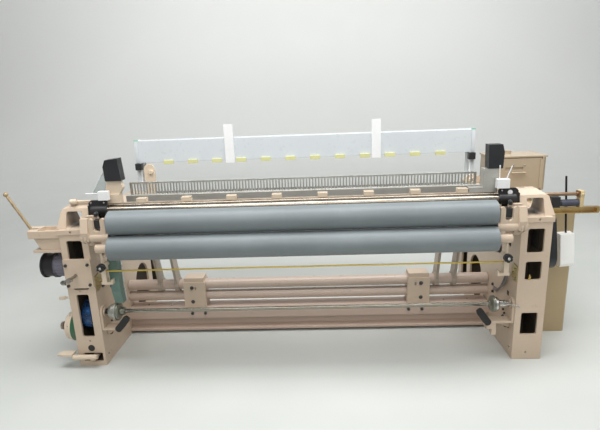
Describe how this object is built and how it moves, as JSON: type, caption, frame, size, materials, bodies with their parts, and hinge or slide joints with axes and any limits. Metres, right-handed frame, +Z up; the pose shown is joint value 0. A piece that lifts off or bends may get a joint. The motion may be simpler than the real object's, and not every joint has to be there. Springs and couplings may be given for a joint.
{
  "type": "power loom",
  "caption": "Wide shuttleless power loom with two box side frames, a pair of rubber cloth rollers, a rocking sley with a reed, a cloth roll shaft and a white top beam.",
  "frame": {"origin": "on the floor, at the middle of the bounding box in X and Y", "axes": "X along the rollers from the start handle end to the drive end, Y from the operator towards the warp, Z up"},
  "size_m": [3.6599, 1.3338, 1.472],
  "materials": {
    "beige_paint": "semi-gloss beige enamel over cast iron and sheet",
    "white_paint": "smooth white enamel",
    "black_paint": "black enamel, semi-gloss",
    "bright_steel": "polished and plated",
    "ground_steel": "turned and ground, lightly oiled",
    "roller_rubber": "matt grey-blue rubber sleeve",
    "green_mesh": "green woven mesh over sheet",
    "clear_sheet": "clear sheet",
    "white_plastic": "matt white",
    "black_plastic": "matt black",
    "blue_wheel": "blue paint on a cast wheel",
    "zinc_yellow": "yellow passivated zinc plating",
    "copper_rod": "brown metallic rod",
    "handle_wood": "varnished rod",
    "clip_yellow": "pale yellow moulded clip",
    "dark_cast": "dark sprocket and clamp disc",
    "reed_steel": "fine steel dents"
  },
  "bodies": {
    "frame": {"left_side_frame": "beige_paint", "right_side_frame": "beige_paint", "cross_beam": "beige_paint", "rear_beam": "beige_paint", "stay_tube": "beige_paint", "bearing_blocks": "beige_paint", "roller_bracket_left": "beige_paint", "roller_bracket_right": "beige_paint", "guide_hangers": "beige_paint", "guide_rod": "ground_steel", "cloth_brackets": "beige_paint", "wall_plates": "zinc_yellow", "chain_guard": "green_mesh", "breast_brackets": "black_paint", "breast_pipe": "bright_steel", "temple_bar": "ground_steel", "temple_clamps": "beige_paint", "guide_blocks": "white_plastic", "feeler_column_left": "beige_paint", "feeler_column_right": "ground_steel", "sensor_boxes": "black_plastic", "splash_guard": "clear_sheet", "tower_fitting": "beige_paint", "cover_plate": "beige_paint", "beam_posts": "white_paint", "top_beam": "white_paint", "beam_straps": "white_plastic", "beam_clips": "clip_yellow", "outboard_bracket": "beige_paint", "gear_case": "beige_paint", "drive_guard": "beige_paint", "control_cabinet": "beige_paint", "feeder_arm": "zinc_yellow", "feeder_rod": "copper_rod", "feeder_cylinder": "black_plastic", "hanging_box": "white_paint", "belt_guard": "black_paint", "frame_bolts": "ground_steel"},
    "take_up": {"take_up_roller": "roller_rubber"},
    "press_carriage": {"bearing_slides": "black_paint"},
    "press": {"press_roller": "roller_rubber"},
    "cloth_roll": {"cloth_shaft": "bright_steel", "chuck_left": "bright_steel", "chuck_right": "bright_steel", "chuck_discs": "dark_cast"},
    "sley": {"rocking_shaft": "beige_paint", "sley_swords": "beige_paint", "reed_holder": "ground_steel", "reed": "reed_steel"},
    "worm_wheel": {"drive_gear": "blue_wheel"},
    "pulley": {"hand_pulley": "black_paint"},
    "crank": {"crank_stub": "ground_steel"},
    "back_roller": {"back_rest": "ground_steel"},
    "handle": {"start_handle": "handle_wood"},
    "pedal": {"foot_pedal": "beige_paint"},
    "left_lever": {"lock_lever_left": "black_paint"},
    "right_lever": {"lock_lever_right": "black_paint"},
    "left_knob": {"pressure_knob_left": "black_plastic"},
    "right_knob": {"pressure_knob_right": "black_plastic"},
    "door": {"cabinet_door": "beige_paint"}
  },
  "joints": [
    {"name": "take_up_turn", "type": "hinge", "parent": "frame", "child": "take_up", "pos_m": [0, -0.593, 0.828], "axis": [1, 0, 0], "continuous": true},
    {"name": "press_lift", "type": "slide", "parent": "frame", "child": "press_carriage", "axis": [0, 0, 1], "range_m": [0, 0.015]},
    {"name": "press_turn", "type": "hinge", "parent": "press_carriage", "child": "press", "pos_m": [0, -0.556, 0.97192], "axis": [1, 0, 0], "continuous": true},
    {"name": "cloth_turn", "type": "hinge", "parent": "frame", "child": "cloth_roll", "pos_m": [0, -0.463, 0.36], "axis": [1, 0, 0], "continuous": true},
    {"name": "sley_rock", "type": "hinge", "parent": "frame", "child": "sley", "pos_m": [0, -0.013, 0.353], "axis": [1, 0, 0], "range_deg": [-3, 4]},
    {"name": "worm_wheel_turn", "type": "hinge", "parent": "frame", "child": "worm_wheel", "pos_m": [-1.405, -0.393, 0.318], "axis": [1, 0, 0], "continuous": true},
    {"name": "pulley_turn", "type": "hinge", "parent": "frame", "child": "pulley", "pos_m": [-1.582, -0.413, 0.671], "axis": [1, 0, 0], "continuous": true},
    {"name": "crank_turn", "type": "hinge", "parent": "frame", "child": "crank", "pos_m": [-1.407, -0.513, 0.634], "axis": [0, 1, 0], "continuous": true},
    {"name": "back_rest_turn", "type": "hinge", "parent": "frame", "child": "back_roller", "pos_m": [0, 0.597, 0.88], "axis": [1, 0, 0], "continuous": true},
    {"name": "start_handle_swing", "type": "hinge", "parent": "frame", "child": "handle", "pos_m": [-1.642, -0.433, 0.816], "axis": [0, 1, 0], "range_deg": [-3, 8]},
    {"name": "pedal_press", "type": "hinge", "parent": "frame", "child": "pedal", "pos_m": [-1.386, -0.423, 0.058], "axis": [1, 0, 0], "range_deg": [0, 8]},
    {"name": "left_lever_swing", "type": "hinge", "parent": "frame", "child": "left_lever", "pos_m": [-1.188, -0.513, 0.262], "axis": [0, 1, 0], "range_deg": [0, 50]},
    {"name": "right_lever_swing", "type": "hinge", "parent": "frame", "child": "right_lever", "pos_m": [1.138, -0.513, 0.262], "axis": [0, 1, 0], "range_deg": [-50, 0]},
    {"name": "left_knob_turn", "type": "hinge", "parent": "frame", "child": "left_knob", "pos_m": [-1.194, -0.613, 0.714], "axis": [0, 1, 0], "continuous": true},
    {"name": "right_knob_turn", "type": "hinge", "parent": "frame", "child": "right_knob", "pos_m": [1.194, -0.613, 0.714], "axis": [0, 1, 0], "continuous": true},
    {"name": "cabinet_door_swing", "type": "hinge", "parent": "frame", "child": "door", "pos_m": [1.723, 0.195, 1.055], "axis": [0, 0, 1], "range_deg": [0, 100]}
  ],
  "couplings": [
    {"joint": "press_turn", "follows": "take_up_turn", "ratio": -1},
    {"joint": "worm_wheel_turn", "follows": "take_up_turn", "ratio": -1},
    {"joint": "pulley_turn", "follows": "take_up_turn", "ratio": 2}
  ]
}
